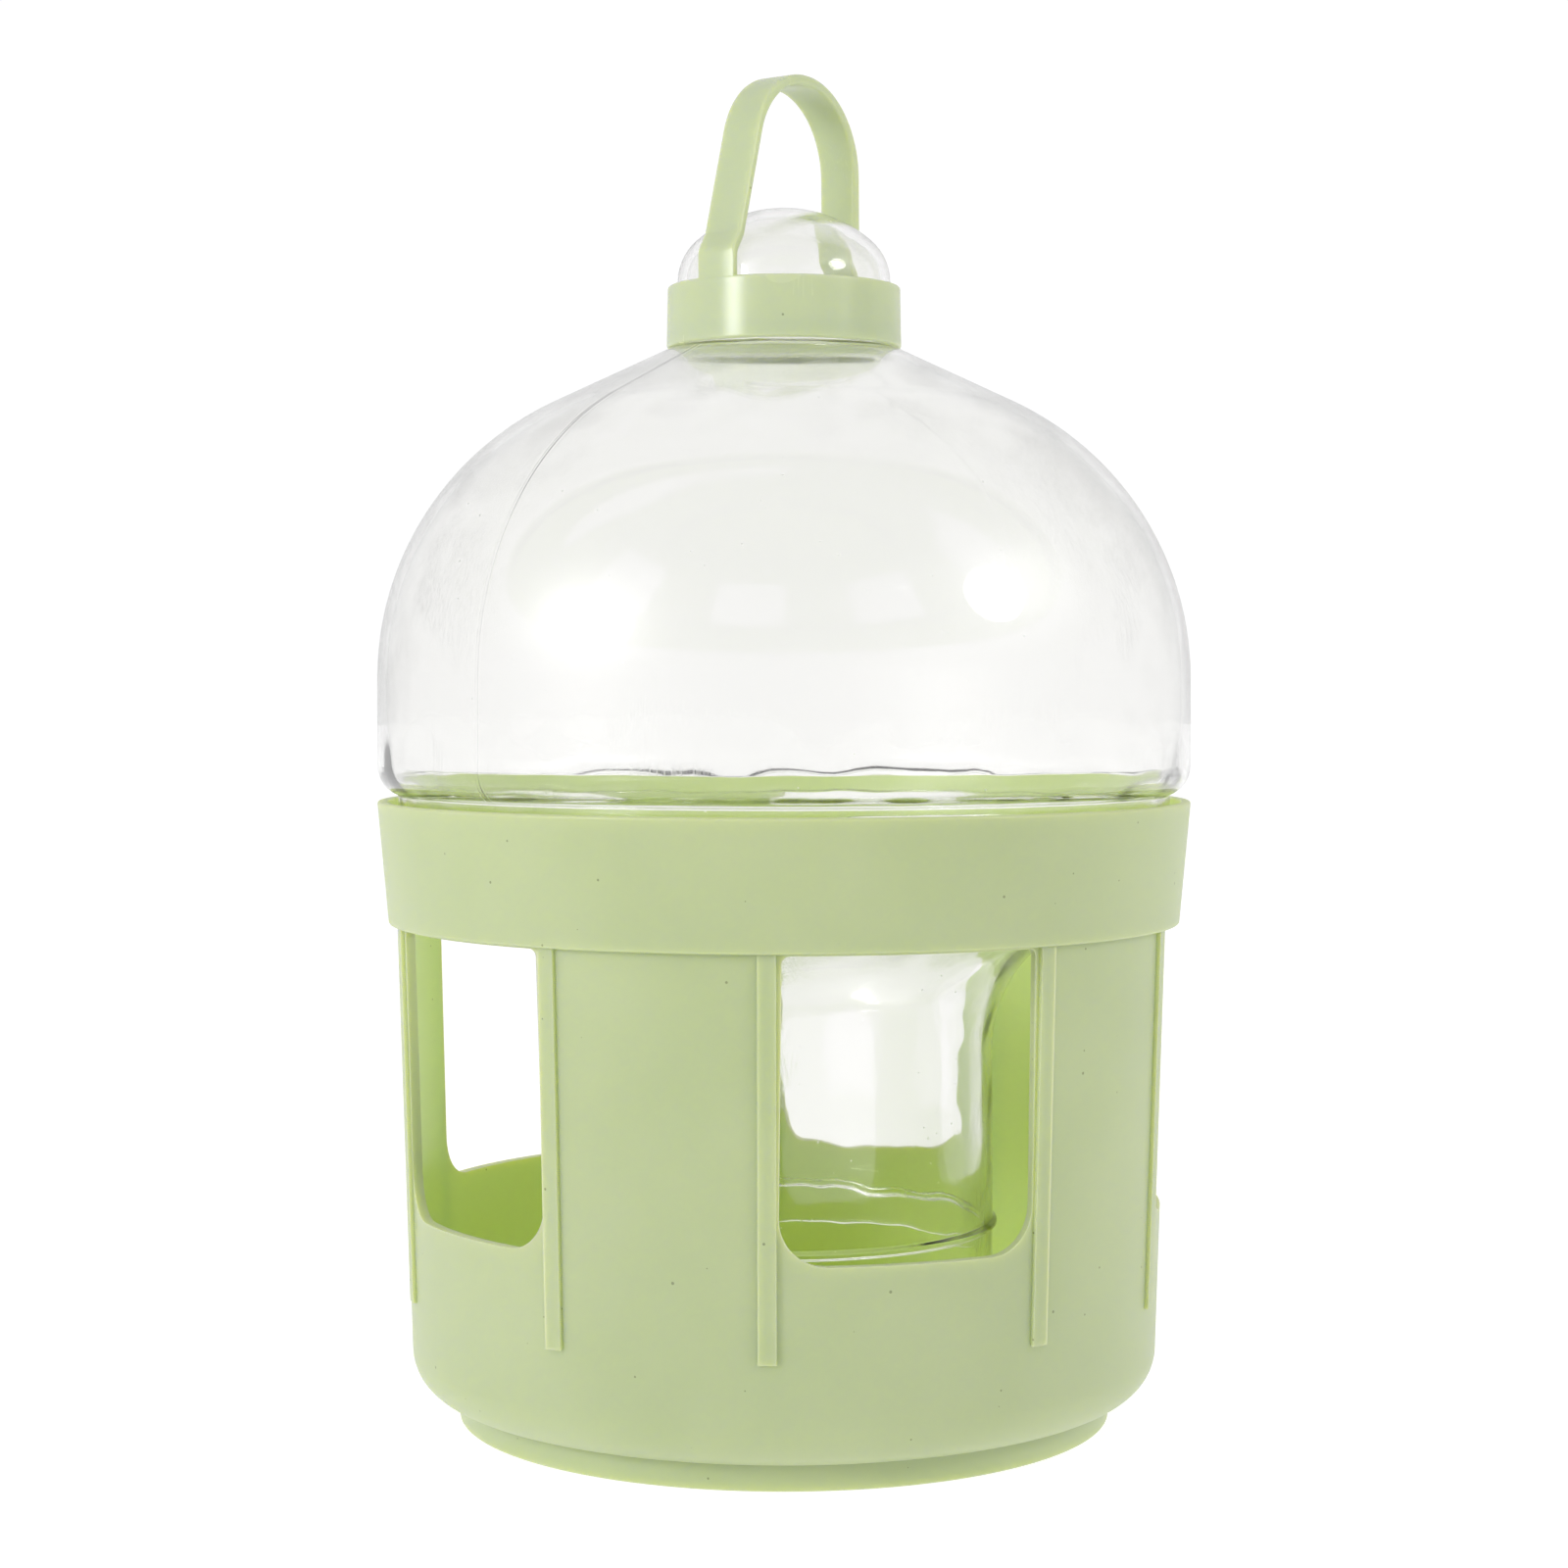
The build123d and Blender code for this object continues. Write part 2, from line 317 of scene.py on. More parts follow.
# ---------------------------------------------------------------- node helpers
def make(tree, kind, settings=None, **inputs):
    """A node. An input named i0 is input 0; a socket is linked and anything else is set."""
    node = tree.nodes.new(kind)
    for name, value in (settings or {}).items():
        setattr(node, name, value)
    for name, value in inputs.items():
        key = int(name[1:]) if name[0] == "i" and name[1:].isdigit() else name.replace("_", " ")
        socket = node.inputs[key]
        if isinstance(value, bpy.types.NodeSocket):
            tree.links.new(value, socket)
        else:
            socket.default_value = value
    return node


def sums(tree, operation, *values):
    """A Math node's result."""
    inputs = {f"i{number}": value for number, value in enumerate(values)}
    return make(tree, "ShaderNodeMath", {"operation": operation}, **inputs).outputs[0]


def ranged(tree, value, low, high, at_low, at_high, smooth=False):
    """A value mapped from one range to another, and kept within it."""
    settings = {"interpolation_type": "SMOOTHSTEP" if smooth else "LINEAR"}
    return make(tree, "ShaderNodeMapRange", settings, Value=value, i1=low, i2=high, i3=at_low,
                i4=at_high).outputs[0]


def new_group(name, kind, inputs, outputs):
    """A node group with named sockets, given as (name, type, default)."""
    group = bpy.data.node_groups.new(name, kind)
    for label, sort, default in inputs:
        socket = group.interface.new_socket(label, in_out="INPUT", socket_type=sort)
        if default is not None:
            socket.default_value = default
    for label, sort in outputs:
        group.interface.new_socket(label, in_out="OUTPUT", socket_type=sort)
    return group, group.nodes.new("NodeGroupInput"), group.nodes.new("NodeGroupOutput")


def grown(name, tree, mesh=None, **inputs):
    """The plain mesh object that a Geometry Nodes tree makes from a mesh and its named inputs."""
    source = new_object(name, mesh or bpy.data.meshes.new(name))
    modifier = source.modifiers.new("nodes", "NODES")
    modifier.node_group = tree
    for item in tree.interface.items_tree:
        if item.item_type == "SOCKET" and item.in_out == "INPUT" and item.name in inputs:
            modifier[item.identifier] = inputs[item.name]
    source.update_tag()
    bpy.context.view_layer.update()
    result = bpy.data.meshes.new_from_object(source.evaluated_get(bpy.context.evaluated_depsgraph_get()))
    source.modifiers.clear()
    source.data = result
    result.name = name
    return source


def finished(piece):
    """The piece with its modifiers made part of its mesh."""
    bpy.context.view_layer.update()
    result = bpy.data.meshes.new_from_object(piece.evaluated_get(bpy.context.evaluated_depsgraph_get()))
    piece.modifiers.clear()
    piece.data = result
    return piece


def dropped(*objects):
    """Helpers removed once the piece that they made is plain mesh."""
    for thing in objects:
        bpy.data.objects.remove(thing)


def eased(piece, width, segments, limit):
    """Sharp edges rounded, with shading that keeps the big faces even."""
    bevel = piece.modifiers.new("ease", "BEVEL")
    bevel.width = width
    bevel.segments = segments
    bevel.limit_method = "ANGLE"
    bevel.angle_limit = radians(limit)
    bevel.use_clamp_overlap = True
    even = piece.modifiers.new("even", "WEIGHTED_NORMAL")
    even.keep_sharp = True
    return finished(piece)


# ---------------------------------------------------------------- geometry trees
def new_tree(name, sockets):
    """A Geometry Nodes tree with named sockets, given as (name, type, default)."""
    geometry = ("Geometry", "NodeSocketGeometry")
    return new_group(name, "GeometryNodeTree", [(*geometry, None), *sockets], [geometry])


def surfaced(tree, geometry, given, result):
    """The end of a tree: smooth shading, real geometry and the piece's material."""
    smooth = make(tree, "GeometryNodeSetShadeSmooth", Geometry=geometry)
    real = make(tree, "GeometryNodeRealizeInstances", Geometry=smooth.outputs[0])
    skinned = make(tree, "GeometryNodeSetMaterial", Geometry=real.outputs[0],
                   Material=given.outputs["Material"])
    tree.links.new(skinned.outputs[0], result.inputs[0])
    return tree


def turned_tree():
    """A closed wall turned about the axis from a profile curve, its surface waved by noise.

    The profile's x is its radius less the sweep radius, and its y points down.
    """
    sockets = [
        ("Profile", "NodeSocketObject", None),
        ("Sweep Radius", "NodeSocketFloat", BODY_SWEEP),
        ("Segments", "NodeSocketInt", TUB_SEGMENTS),
        ("Wave Height", "NodeSocketFloat", 0.0),
        ("Wave Scale", "NodeSocketFloat", 40.0),
        ("Calm Above", "NodeSocketFloat", 0.0),
        ("Calm Share", "NodeSocketFloat", 1.0),
        ("Seed", "NodeSocketFloat", 3.0),
        ("Material", "NodeSocketMaterial", None),
    ]
    tree, given, result = new_tree("turned wall", sockets)
    put = partial(make, tree)
    profile = put("GeometryNodeObjectInfo", Object=given.outputs["Profile"])
    path = put("GeometryNodeCurvePrimitiveCircle", Resolution=given.outputs["Segments"],
               Radius=given.outputs["Sweep Radius"])
    swept = put("GeometryNodeCurveToMesh", Curve=path.outputs[0], Profile_Curve=profile.outputs["Geometry"])
    joined = put("GeometryNodeMergeByDistance", Geometry=swept.outputs[0], Distance=MERGE_DISTANCE)
    noise = put("ShaderNodeTexNoise", {"noise_dimensions": "4D"}, Scale=given.outputs["Wave Scale"],
                W=given.outputs["Seed"], Detail=3.0, Roughness=0.62)
    height = put("ShaderNodeSeparateXYZ", i0=put("GeometryNodeInputPosition").outputs[0]).outputs[2]
    calm_from = sums(tree, "SUBTRACT", given.outputs["Calm Above"], CALM_FADE)
    share = ranged(tree, height, calm_from, given.outputs["Calm Above"], 1.0, given.outputs["Calm Share"],
                   smooth=True)
    wave = sums(tree, "MULTIPLY", given.outputs["Wave Height"], share)
    lift = sums(tree, "MULTIPLY", sums(tree, "SUBTRACT", noise.outputs[0], 0.5), wave)
    normal = put("GeometryNodeInputNormal")
    push = put("ShaderNodeVectorMath", {"operation": "SCALE"}, i0=normal.outputs[0], Scale=lift)
    moved = put("GeometryNodeSetPosition", Geometry=joined.outputs[0], Offset=push.outputs[0])
    return surfaced(tree, moved.outputs[0], given, result)


def round_pattern(tree, shape, count, turn):
    """Copies of an object set evenly round the axis, the first one turned."""
    put = partial(make, tree)
    spots = put("GeometryNodeMeshLine", Count=count, Offset=(0, 0, 0))
    index = put("GeometryNodeInputIndex")
    pitch = sums(tree, "DIVIDE", 2 * pi, count)
    azimuth = sums(tree, "ADD", sums(tree, "MULTIPLY", index.outputs[0], pitch), turn)
    facing = put("ShaderNodeCombineXYZ", Z=azimuth)
    copy = put("GeometryNodeObjectInfo", Object=shape)
    copies = put("GeometryNodeInstanceOnPoints", Points=spots.outputs[0], Instance=copy.outputs["Geometry"],
                 Rotation=facing.outputs[0])
    return put("GeometryNodeRealizeInstances", Geometry=copies.outputs[0]).outputs[0]


def windowed_tree():
    """A turned wall with windows cut through it and a rib fused on at each side of every window."""
    sockets = [
        ("Window", "NodeSocketObject", None),
        ("Rib", "NodeSocketObject", None),
        ("Windows", "NodeSocketInt", 5),
        ("Rib Turn", "NodeSocketFloat", 0.3),
        ("Material", "NodeSocketMaterial", None),
    ]
    tree, given, result = new_tree("windows and ribs", sockets)
    count, turn = given.outputs["Windows"], given.outputs["Rib Turn"]
    windows = round_pattern(tree, given.outputs["Window"], count, 0.0)
    cut = make(tree, "GeometryNodeMeshBoolean", {"operation": "DIFFERENCE", "solver": "EXACT"})
    tree.links.new(given.outputs["Geometry"], cut.inputs["Mesh 1"])
    tree.links.new(windows, cut.inputs["Mesh 2"])
    fused = make(tree, "GeometryNodeMeshBoolean", {"operation": "UNION", "solver": "EXACT"})
    for side in (turn, sums(tree, "MULTIPLY", turn, -1.0)):
        tree.links.new(round_pattern(tree, given.outputs["Rib"], count, side), fused.inputs["Mesh 2"])
    tree.links.new(cut.outputs[0], fused.inputs["Mesh 2"])
    return surfaced(tree, fused.outputs[0], given, result)


def lugged_tree():
    """Two opposite lugs swelled out of the skirt's outer face, each with ramped ends."""
    sockets = [
        ("Top", "NodeSocketFloat", 0.12),
        ("Height", "NodeSocketFloat", 5 * MM),
        ("Proud", "NodeSocketFloat", 1 * MM),
        ("Middle", "NodeSocketFloat", 0.0),
        ("Span", "NodeSocketFloat", 0.5),
        ("Material", "NodeSocketMaterial", None),
    ]
    tree, given, result = new_tree("lugs", sockets)
    place = make(tree, "GeometryNodeInputPosition")
    parts = make(tree, "ShaderNodeSeparateXYZ", i0=place.outputs[0])
    azimuth = sums(tree, "ARCTAN2", parts.outputs[1], parts.outputs[0])
    away = sums(tree, "SUBTRACT", azimuth, given.outputs["Middle"])
    off = sums(tree, "ABSOLUTE", sums(tree, "WRAP", away, pi / 2, -pi / 2))
    half = sums(tree, "MULTIPLY", given.outputs["Span"], 0.5)
    ramp = sums(tree, "MULTIPLY", sums(tree, "SUBTRACT", half, off), 25.0)
    along = sums(tree, "SMOOTH_MIN", ramp, 1.0, 0.2)
    depth = sums(tree, "SUBTRACT", given.outputs["Top"], parts.outputs[2])
    below = sums(tree, "DIVIDE", depth, LUG_EDGE)
    above = sums(tree, "DIVIDE", sums(tree, "SUBTRACT", given.outputs["Height"], depth), LUG_EDGE)
    across = sums(tree, "MINIMUM", below, above)
    swell = make(tree, "ShaderNodeClamp", Value=sums(tree, "MINIMUM", along, across)).outputs[0]
    radial = make(tree, "ShaderNodeVectorMath", {"operation": "NORMALIZE"},
                  i0=make(tree, "ShaderNodeCombineXYZ", X=parts.outputs[0], Y=parts.outputs[1]).outputs[0])
    normal = make(tree, "GeometryNodeInputNormal")
    facing = make(tree, "ShaderNodeVectorMath", {"operation": "DOT_PRODUCT"}, i0=normal.outputs[0],
                  i1=radial.outputs[0]).outputs["Value"]
    outer = sums(tree, "GREATER_THAN", facing, 0.3)
    out = sums(tree, "MULTIPLY", sums(tree, "MULTIPLY", swell, outer), given.outputs["Proud"])
    push = make(tree, "ShaderNodeVectorMath", {"operation": "SCALE"}, i0=radial.outputs[0], Scale=out)
    moved = make(tree, "GeometryNodeSetPosition", Geometry=given.outputs["Geometry"], Offset=push.outputs[0])
    return surfaced(tree, moved.outputs[0], given, result)


def strap_tree():
    """A strap: a section swept along a path that stays upright in one plane."""
    sockets = [
        ("Path", "NodeSocketObject", None),
        ("Section", "NodeSocketObject", None),
        ("Material", "NodeSocketMaterial", None),
    ]
    tree, given, result = new_tree("strap", sockets)
    path = make(tree, "GeometryNodeObjectInfo", Object=given.outputs["Path"])
    section = make(tree, "GeometryNodeObjectInfo", Object=given.outputs["Section"])
    level = make(tree, "GeometryNodeSetCurveNormal", {"mode": "FREE"}, Curve=path.outputs["Geometry"],
                 Normal=(0, 1, 0))
    swept = make(tree, "GeometryNodeCurveToMesh", Curve=level.outputs[0],
                 Profile_Curve=section.outputs["Geometry"], Fill_Caps=True)
    return surfaced(tree, swept.outputs[0], given, result)


# ---------------------------------------------------------------- materials
def shader(name):
    """A new material with its node tree and its Principled BSDF."""
    material = bpy.data.materials.new(name)
    material.use_nodes = True
    tree = material.node_tree
    return material, tree, tree.nodes["Principled BSDF"]


def placed(tree, scale=(1, 1, 1), turn=(0, 0, 0)):
    """Object coordinates, scaled and turned, for a pattern that keeps its place on the piece."""
    where = make(tree, "ShaderNodeTexCoord").outputs["Object"]
    return make(tree, "ShaderNodeMapping", Vector=where, Scale=scale, Rotation=turn).outputs[0]


def skin_group():
    """Moulded skin: slow mottling, a fine grain and a few dark specks."""
    sockets = [
        ("Mottle Scale", "NodeSocketFloat", 30.0),
        ("Grain Scale", "NodeSocketFloat", 2500.0),
        ("Speck Scale", "NodeSocketFloat", 60.0),
        ("Speck Size", "NodeSocketFloat", 0.02),
    ]
    group, given, result = new_group("moulded skin", "ShaderNodeTree", sockets, [
        ("Mottle", "NodeSocketFloat"),
        ("Grain", "NodeSocketFloat"),
        ("Specks", "NodeSocketFloat"),
    ])
    where = make(group, "ShaderNodeTexCoord").outputs["Object"]
    mottle = make(group, "ShaderNodeTexNoise", Vector=where, Scale=given.outputs["Mottle Scale"], Detail=3.0)
    grain = make(group, "ShaderNodeTexNoise", Vector=where, Scale=given.outputs["Grain Scale"], Detail=2.0)
    dots = make(group, "ShaderNodeTexVoronoi", {"feature": "F1"}, Vector=where,
                Scale=given.outputs["Speck Scale"], Randomness=1.0)
    chance = make(group, "ShaderNodeSeparateColor", Color=dots.outputs["Color"])
    rare = sums(group, "GREATER_THAN", chance.outputs[0], 0.72)
    small = sums(group, "MULTIPLY", chance.outputs[1], given.outputs["Speck Size"])
    near = sums(group, "LESS_THAN", dots.outputs["Distance"], small)
    group.links.new(mottle.outputs[0], result.inputs["Mottle"])
    group.links.new(grain.outputs[0], result.inputs["Grain"])
    group.links.new(sums(group, "MULTIPLY", rare, near), result.inputs["Specks"])
    return group


def scratch_group():
    """Fine straight scratches: thin lines of a stretched noise, broken up by a broad one."""
    sockets = [
        ("Turn", "NodeSocketVector", None),
        ("Scale", "NodeSocketFloat", 1.0),
        ("Amount", "NodeSocketFloat", 0.3),
    ]
    mask = ("Mask", "NodeSocketFloat")
    group, given, result = new_group("fine scratches", "ShaderNodeTree", sockets, [mask])
    where = make(group, "ShaderNodeTexCoord").outputs["Object"]
    spun = make(group, "ShaderNodeMapping", Vector=where, Rotation=given.outputs["Turn"],
                Scale=(1400, 1400, 22))
    sized = make(group, "ShaderNodeVectorMath", {"operation": "SCALE"}, i0=spun.outputs[0],
                 Scale=given.outputs["Scale"])
    lines = make(group, "ShaderNodeTexNoise", Vector=sized.outputs[0], Scale=1.0, Detail=1.0)
    ridge = sums(group, "ABSOLUTE", sums(group, "SUBTRACT", lines.outputs[0], 0.5))
    thin = ranged(group, ridge, 0.0, 0.012, 1.0, 0.0, smooth=True)
    broad = make(group, "ShaderNodeTexNoise", Vector=where, Scale=45.0, Detail=2.0)
    limit = sums(group, "SUBTRACT", 0.75, sums(group, "MULTIPLY", given.outputs["Amount"], 0.5))
    some = ranged(group, broad.outputs[0], limit, sums(group, "ADD", limit, 0.1), 0.0, 1.0)
    group.links.new(sums(group, "MULTIPLY", thin, some), result.inputs["Mask"])
    return group


def use(tree, group, **values):
    """A group placed in a material with its own values."""
    node = make(tree, "ShaderNodeGroup", {"node_tree": group})
    for name, value in values.items():
        node.inputs[name.replace("_", " ")].default_value = value
    return node


def blended(tree, factor, first, second):
    """A colour between two others."""
    node = make(tree, "ShaderNodeMix", {"data_type": "RGBA"}, i0=factor)
    for number, colour in ((6, first), (7, second)):
        if isinstance(colour, bpy.types.NodeSocket):
            tree.links.new(colour, node.inputs[number])
        else:
            node.inputs[number].default_value = (*colour, 1)
    return node.outputs[2]


def green_plastic(name, greens, roughness, skin, scratches):
    """Pale green plastic, satin and slightly see-through to light, with a painted brighter, greener bounce
    light on the faces marked as inside the tub.
    """
    material, tree, surface = shader(name)
    marks = use(tree, skin, Mottle_Scale=28.0, Grain_Scale=1800.0, Speck_Scale=300.0, Speck_Size=0.09)
    rubs = use(tree, scratches, Turn=(0.3, 1.2, 0.4), Scale=1.0, Amount=0.35)
    inside = make(tree, "ShaderNodeAttribute", {"attribute_name": "inside"})
    tone = blended(tree, marks.outputs["Mottle"], *greens)
    # painted light: faces marked inside the tub take a brighter, greener tone for the light bounced round
    # inside it
    tone = blended(tree, inside.outputs["Fac"], tone, INSIDE_BOUNCE_LIGHT_GREEN)
    specked = blended(tree, sums(tree, "MULTIPLY", marks.outputs["Specks"], 0.6), tone, SPECK_COLOUR)
    tree.links.new(specked, surface.inputs["Base Color"])
    rough = ranged(tree, marks.outputs["Mottle"], 0.3, 0.7, roughness, roughness + 0.06)
    dulled = sums(tree, "ADD", rough, sums(tree, "MULTIPLY", rubs.outputs[0], 0.15))
    tree.links.new(dulled, surface.inputs["Roughness"])
    relief = sums(tree, "SUBTRACT", sums(tree, "MULTIPLY", marks.outputs["Grain"], 0.35), rubs.outputs[0])
    bump = make(tree, "ShaderNodeBump", Height=relief, Strength=0.12, Distance=0.05 * MM)
    tree.links.new(bump.outputs[0], surface.inputs["Normal"])
    surface.inputs["Subsurface Weight"].default_value = 1.0
    surface.inputs["Subsurface Radius"].default_value = (1.0, 1.0, 0.25)
    surface.inputs["Subsurface Scale"].default_value = 6.0 * MM
    surface.inputs["IOR"].default_value = 1.5
    return material


def clear_plastic(skin, scratches):
    """Clear plastic with the mould's parting line, fine scratches and dust, and a painted dark rim where it
    turns away from view; light passes to the inside.
    """
    material, tree, surface = shader("clear plastic")
    # painted shade: the base colour turns grey towards the silhouette, a dark rim standing in for the darker
    # edges that refraction and reflection give there
    edge = make(tree, "ShaderNodeLayerWeight", Blend=0.5)
    rim = ranged(tree, edge.outputs["Facing"], 0.9, 1.0, 0.0, 1.0, smooth=True)
    tint_and_rim_shade = blended(tree, rim, CLEAR_TINT, CLEAR_RIM_SHADE)
    tree.links.new(tint_and_rim_shade, surface.inputs["Base Color"])
    surface.inputs["IOR"].default_value = 1.49
    surface.inputs["Transmission Weight"].default_value = 1.0
    surface.inputs["Coat Weight"].default_value = 0.5
    surface.inputs["Coat Roughness"].default_value = 0.3
    marks = use(tree, skin, Mottle_Scale=22.0, Grain_Scale=500.0, Speck_Scale=300.0, Speck_Size=0.07)
    first = use(tree, scratches, Turn=(0.2, 0.9, 0.3), Scale=1.0, Amount=0.5)
    second = use(tree, scratches, Turn=(1.1, 0.4, 1.3), Scale=0.8, Amount=0.45)
    rubs = sums(tree, "MAXIMUM", first.outputs[0], second.outputs[0])
    parts = make(tree, "ShaderNodeSeparateXYZ", i0=placed(tree, turn=(0, 0, -PARTING_AZIMUTH)))
    off = sums(tree, "ABSOLUTE", parts.outputs[1])
    line = ranged(tree, off, 0.0, PARTING_WIDTH, 1.0, 0.0, smooth=True)
    marred = sums(tree, "ADD", sums(tree, "MULTIPLY", rubs, 0.08), sums(tree, "MULTIPLY", line, 0.05))
    dusty = sums(tree, "MULTIPLY", marks.outputs["Specks"], 0.4)
    tree.links.new(sums(tree, "ADD", sums(tree, "ADD", marred, 0.03), dusty), surface.inputs["Roughness"])
    relief = sums(tree, "SUBTRACT", line, sums(tree, "MULTIPLY", rubs, 0.12))
    bump = make(tree, "ShaderNodeBump", Height=relief, Strength=0.3, Distance=0.1 * MM)
    tree.links.new(bump.outputs[0], surface.inputs["Normal"])
    path = make(tree, "ShaderNodeLightPath")
    through = sums(tree, "MAXIMUM", path.outputs["Is Shadow Ray"], path.outputs["Is Diffuse Ray"])
    empty = make(tree, "ShaderNodeBsdfTransparent", Color=(0.985, 0.985, 0.985, 1))
    either = make(tree, "ShaderNodeMixShader", Fac=through)
    tree.links.new(surface.outputs[0], either.inputs[1])
    tree.links.new(empty.outputs[0], either.inputs[2])
    tree.links.new(either.outputs[0], tree.nodes["Material Output"].inputs["Surface"])
    return material


# ---------------------------------------------------------------- base
def tub_corners():
    """Corners of the base's wall, from under the floor round the outside and back over the floor."""
    foot = TUB_FOOT_RADIUS - FOOT_INSET
    return [
        (0, FOOT_HEIGHT, 0),
        (foot - FOOT_WALL, FOOT_HEIGHT, FOOT_INNER_ROUND),
        (foot - FOOT_WALL, 0, FOOT_EDGE_ROUND),
        (foot, 0, FOOT_EDGE_ROUND),
        (foot, FOOT_HEIGHT, FOOT_CREASE_ROUND),
        (TUB_FOOT_RADIUS, FOOT_HEIGHT, TUB_CORNER),
        (TUB_TOP_RADIUS, BAND_BOTTOM, JOG_ROUND),
        (BAND_BOTTOM_RADIUS, BAND_BOTTOM, RIM_ROUND),
        (TANK_RADIUS, SOCKET_TOP, RIM_ROUND),
        (TANK_RADIUS - BASE_WALL, SOCKET_TOP, RIM_ROUND),
        (BAND_BOTTOM_RADIUS - BASE_WALL, LEDGE, JOG_ROUND),
        (TUB_TOP_RADIUS - BASE_WALL, LEDGE, JOG_ROUND),
        (TUB_FOOT_RADIUS - BASE_WALL, TUB_FLOOR, TUB_CORNER - BASE_WALL),
        (0, TUB_FLOOR, 0),
    ]


def tub_radius(height):
    """Radius of the tub's outside at a height."""
    return TUB_TOP_RADIUS - (BAND_BOTTOM - height) * tan(TUB_DRAFT)


def rib_shape():
    """The rib that would stand at azimuth 0, sunk a little into the wall."""
    sink = BASE_WALL / 3
    top = BAND_BOTTOM + BASE_WALL / 2
    low, high = tub_radius(RIB_FOOT), tub_radius(top)
    shape = bmesh.new()
    ends = []
    for radius, height in ((low, RIB_FOOT), (high, top)):
        ends.append([shape.verts.new((radius + out, side * RIB_WIDTH / 2, height))
                     for side, out in ((-1, -sink), (-1, RIB_PROUD), (1, RIB_PROUD), (1, -sink))])
    for here in range(4):
        there = (here + 1) % 4
        shape.faces.new((ends[0][here], ends[0][there], ends[1][there], ends[1][here]))
    shape.faces.new(ends[0])
    shape.faces.new(ends[1])
    bmesh.ops.recalc_face_normals(shape, faces=shape.faces)
    mesh = bpy.data.meshes.new("rib")
    shape.to_mesh(mesh)
    shape.free()
    return new_object("rib", mesh)


def mark_painted_bounce_light(base):
    """Marks the floor and the faces that look towards the axis, which get a painted brighter, greener tone
    for the light bounced round inside the tub.
    """
    marks = base.data.attributes.new("inside", "FLOAT", "FACE")
    for face, mark in zip(base.data.polygons, marks.data):
        outward = Vector((face.center.x, face.center.y, 0)).normalized()
        floor = face.normal.z > FACES_UP and face.center.z < TUB_FLOOR + TUB_CORNER
        mark.value = float(floor or face.normal.dot(outward) < FACES_INWARD)


def turned_profile(name, points, sweep, closed=False):
    """A profile curve for turning, from (radius, height) points."""
    return line_object(name, [(radius - sweep, -height) for radius, height in points], closed)


def make_base(turned, windowed, plastic):
    """The tub with its foot, socket band, windows and ribs, in one moulding."""
    points = spaced(rounded_line(tub_corners(), 1.2 * MM), 30 * MM)
    profile = turned_profile("tub profile", points, BODY_SWEEP)
    wall = grown("tub", turned, Profile=profile, Segments=TUB_SEGMENTS, Material=plastic,
                 **{"Sweep Radius": BODY_SWEEP})
    half = WINDOW_WIDTH / 2
    outline = rounded_line([
        (-half, WINDOW_SILL, SILL_ROUND),
        (half, WINDOW_SILL, SILL_ROUND),
        (half, WINDOW_HEAD, HEAD_ROUND),
        (-half, WINDOW_HEAD, HEAD_ROUND),
    ], 1.0 * MM, closed=True)
    cutter = prism("window", outline, CUT_FROM, TANK_RADIUS + CUT_PAST)
    rib = rib_shape()
    rib_turn = asin(half / TUB_TOP_RADIUS) + (RIB_GAP + RIB_WIDTH / 2) / TUB_TOP_RADIUS
    base = grown("trough_base", windowed, wall.data, Window=cutter, Rib=rib, Windows=WINDOW_COUNT,
                 Material=plastic, **{"Rib Turn": rib_turn})
    dropped(profile, cutter, rib, wall)
    eased(base, EDGE_ROUND, 2, 35)
    mark_painted_bounce_light(base)
    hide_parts("base")
    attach(base, "base")
    return base


# ---------------------------------------------------------------- tank
def knob_corners():
    """Corners whose roundings are the knob's cap and side, from the top to the widest line."""
    side = KNOB_RADIUS - KNOB_SIDE
    cap = (side**2 + KNOB_CAP**2 - KNOB_SIDE**2) / (2 * (KNOB_CAP - KNOB_SIDE))
    meet = asin(side / (cap - KNOB_SIDE))
    lift = KNOB_SIDE * tan((pi / 2 - meet) / 2)
    return [
        (0, KNOB_TOP, 0),
        (cap * tan(meet / 2), KNOB_TOP, cap),
        (KNOB_RADIUS, KNOB_TOP - KNOB_CAP + lift, KNOB_SIDE),
    ]


def outside_corners():
    """Corners of the tank's outside, from the top of the knob down to the mouth."""
    dome_corner = SHELF - (TANK_RADIUS - SHELF_EDGE) * tan(DOME_SLOPE)
    groove = KNOB_RADIUS - GROOVE_DEPTH
    return knob_corners() + [
        (KNOB_RADIUS, GROOVE_TOP, KNOB_NECK_ROUND),
        (groove, GROOVE_TOP - GROOVE_DEPTH, KNOB_NECK_ROUND),
        (groove, SHELF, KNOB_NECK_ROUND),
        (SHELF_EDGE, SHELF, KNOB_NECK_ROUND),
        (TANK_RADIUS, dome_corner, DOME_ROUND),
        (TANK_RADIUS, SHOULDER_UNDER + SHOULDER_RISE, SHOULDER_ROUND),
        (SKIRT_TOP_RADIUS, SHOULDER_UNDER, SKIRT_TOP_ROUND),
        (SKIRT_FOOT_RADIUS, LEDGE, SKIRT_CORNER),
        (NECK_RADIUS, LEDGE, FUNNEL_ROUND),
        (NECK_RADIUS, MOUTH, 0),
    ]


def inside_corners(outer):
    """The inside of the tank: a wall in from the outside, but easing through the thick shoulder."""
    inner = inset_corners(outer, TANK_WALL)
    shoulder = next(number for number, corner in enumerate(outer) if corner[0] == SKIRT_TOP_RADIUS) - 1
    high, low = inner[shoulder], inner[shoulder + 1]
    inner[shoulder] = (high[0], SHOULDER_UNDER + INNER_SHOULDER_RISE, INNER_SHOULDER_ROUND)
    inner[shoulder + 1] = (low[0] - INNER_SKIRT_STEP, SHOULDER_UNDER + INNER_SKIRT_RISE, INNER_SKIRT_ROUND)
    return inner


